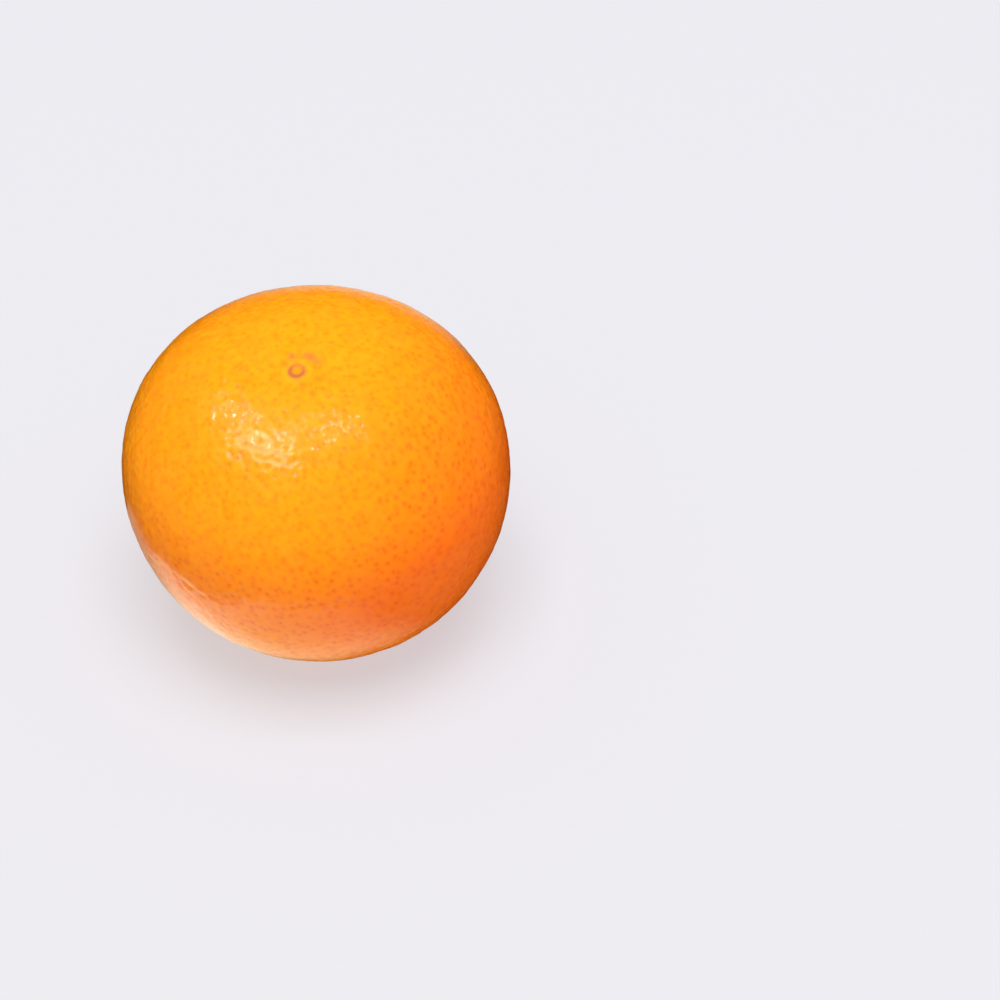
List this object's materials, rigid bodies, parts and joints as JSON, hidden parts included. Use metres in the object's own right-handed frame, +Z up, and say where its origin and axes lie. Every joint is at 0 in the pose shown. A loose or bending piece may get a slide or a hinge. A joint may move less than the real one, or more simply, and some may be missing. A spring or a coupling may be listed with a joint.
{
  "type": "orange",
  "caption": "Whole unpeeled mandarin-type orange, slightly flattened, resting blossom end up on a small flat spot beside its stem end.",
  "frame": {"origin": "on the small flat rest spot, under the middle of the fruit's box, at the height of the surface it lies on", "axes": "+Z up, as the fruit lies; the blossom end leans 13 degrees towards -Y and 6 degrees towards -X, so the stem end faces down and a little towards +Y and +X"},
  "size_m": [0.0662, 0.0654, 0.0599],
  "materials": {
    "rind": "waxy semi-gloss rind, finely dimpled by its oil glands",
    "calyx_wood": "dry matte olive-brown woody button with a pale clipped stub"
  },
  "bodies": {
    "root": {"fruit": "rind", "calyx": "calyx_wood"}
  },
  "joints": []
}
